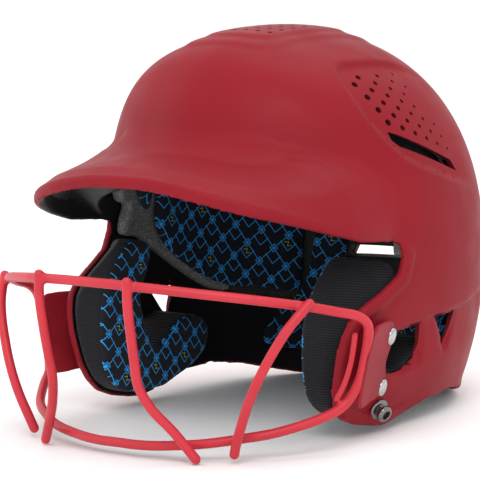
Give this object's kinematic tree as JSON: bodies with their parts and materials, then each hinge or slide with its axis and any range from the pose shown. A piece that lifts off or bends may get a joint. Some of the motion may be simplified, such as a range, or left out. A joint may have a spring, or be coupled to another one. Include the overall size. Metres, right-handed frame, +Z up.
{
  "type": "batting helmet",
  "caption": "Hard shell batting helmet with a front brim, padded ear flaps on both sides and a screwed-on wire face guard.",
  "frame": {"origin": "on the surface the helmet stands on, under the middle of its bounding box", "axes": "+Z up, the wearer faces -Y, +X is the wearer's left"},
  "size_m": [0.2564, 0.3125, 0.233],
  "materials": {
    "shell_plastic": "matte red ABS with a fine texture",
    "guard_coating": "red vinyl dip on steel",
    "brim_lining_plastic": "black textured plastic",
    "liner_foam": "grey speckled moulded bead foam",
    "pad_fabric": "near-black knit printed with a blue lattice",
    "ear_pad_fabric": "near-black ribbed knit",
    "screw_chrome": "polished chrome",
    "snap_nickel": "dark nickel",
    "nut_steel": "zinc",
    "spacer_rubber": "black rubber"
  },
  "bodies": {
    "helmet": {"shell": "shell_plastic", "brim_lining": "brim_lining_plastic", "liner_front": "liner_foam", "liner_left": "liner_foam", "liner_right": "liner_foam", "liner_rear": "liner_foam", "liner_crown": "liner_foam", "forehead_pad": "pad_fabric", "side_pad_left": "pad_fabric", "side_pad_right": "pad_fabric", "rear_pad": "pad_fabric", "crown_pad": "pad_fabric", "guard_loop": "guard_coating", "ear_pad_left": "ear_pad_fabric", "guard_outer_bar_left": "guard_coating", "guard_inner_bar_left": "guard_coating", "guard_side_wire_left": "guard_coating", "guard_plate_left": "guard_coating", "screw_upper_left": "screw_chrome", "spacer_upper_left": "spacer_rubber", "nut_upper_left": "nut_steel", "screw_lower_left": "screw_chrome", "spacer_lower_left": "spacer_rubber", "nut_lower_left": "nut_steel", "snap_stud_left": "snap_nickel", "snap_washer_left": "snap_nickel", "ear_pad_right": "ear_pad_fabric", "guard_outer_bar_right": "guard_coating", "guard_inner_bar_right": "guard_coating", "guard_side_wire_right": "guard_coating", "guard_plate_right": "guard_coating", "screw_upper_right": "screw_chrome", "spacer_upper_right": "spacer_rubber", "nut_upper_right": "nut_steel", "screw_lower_right": "screw_chrome", "spacer_lower_right": "spacer_rubber", "nut_lower_right": "nut_steel", "snap_stud_right": "snap_nickel", "snap_washer_right": "snap_nickel"}
  },
  "joints": []
}
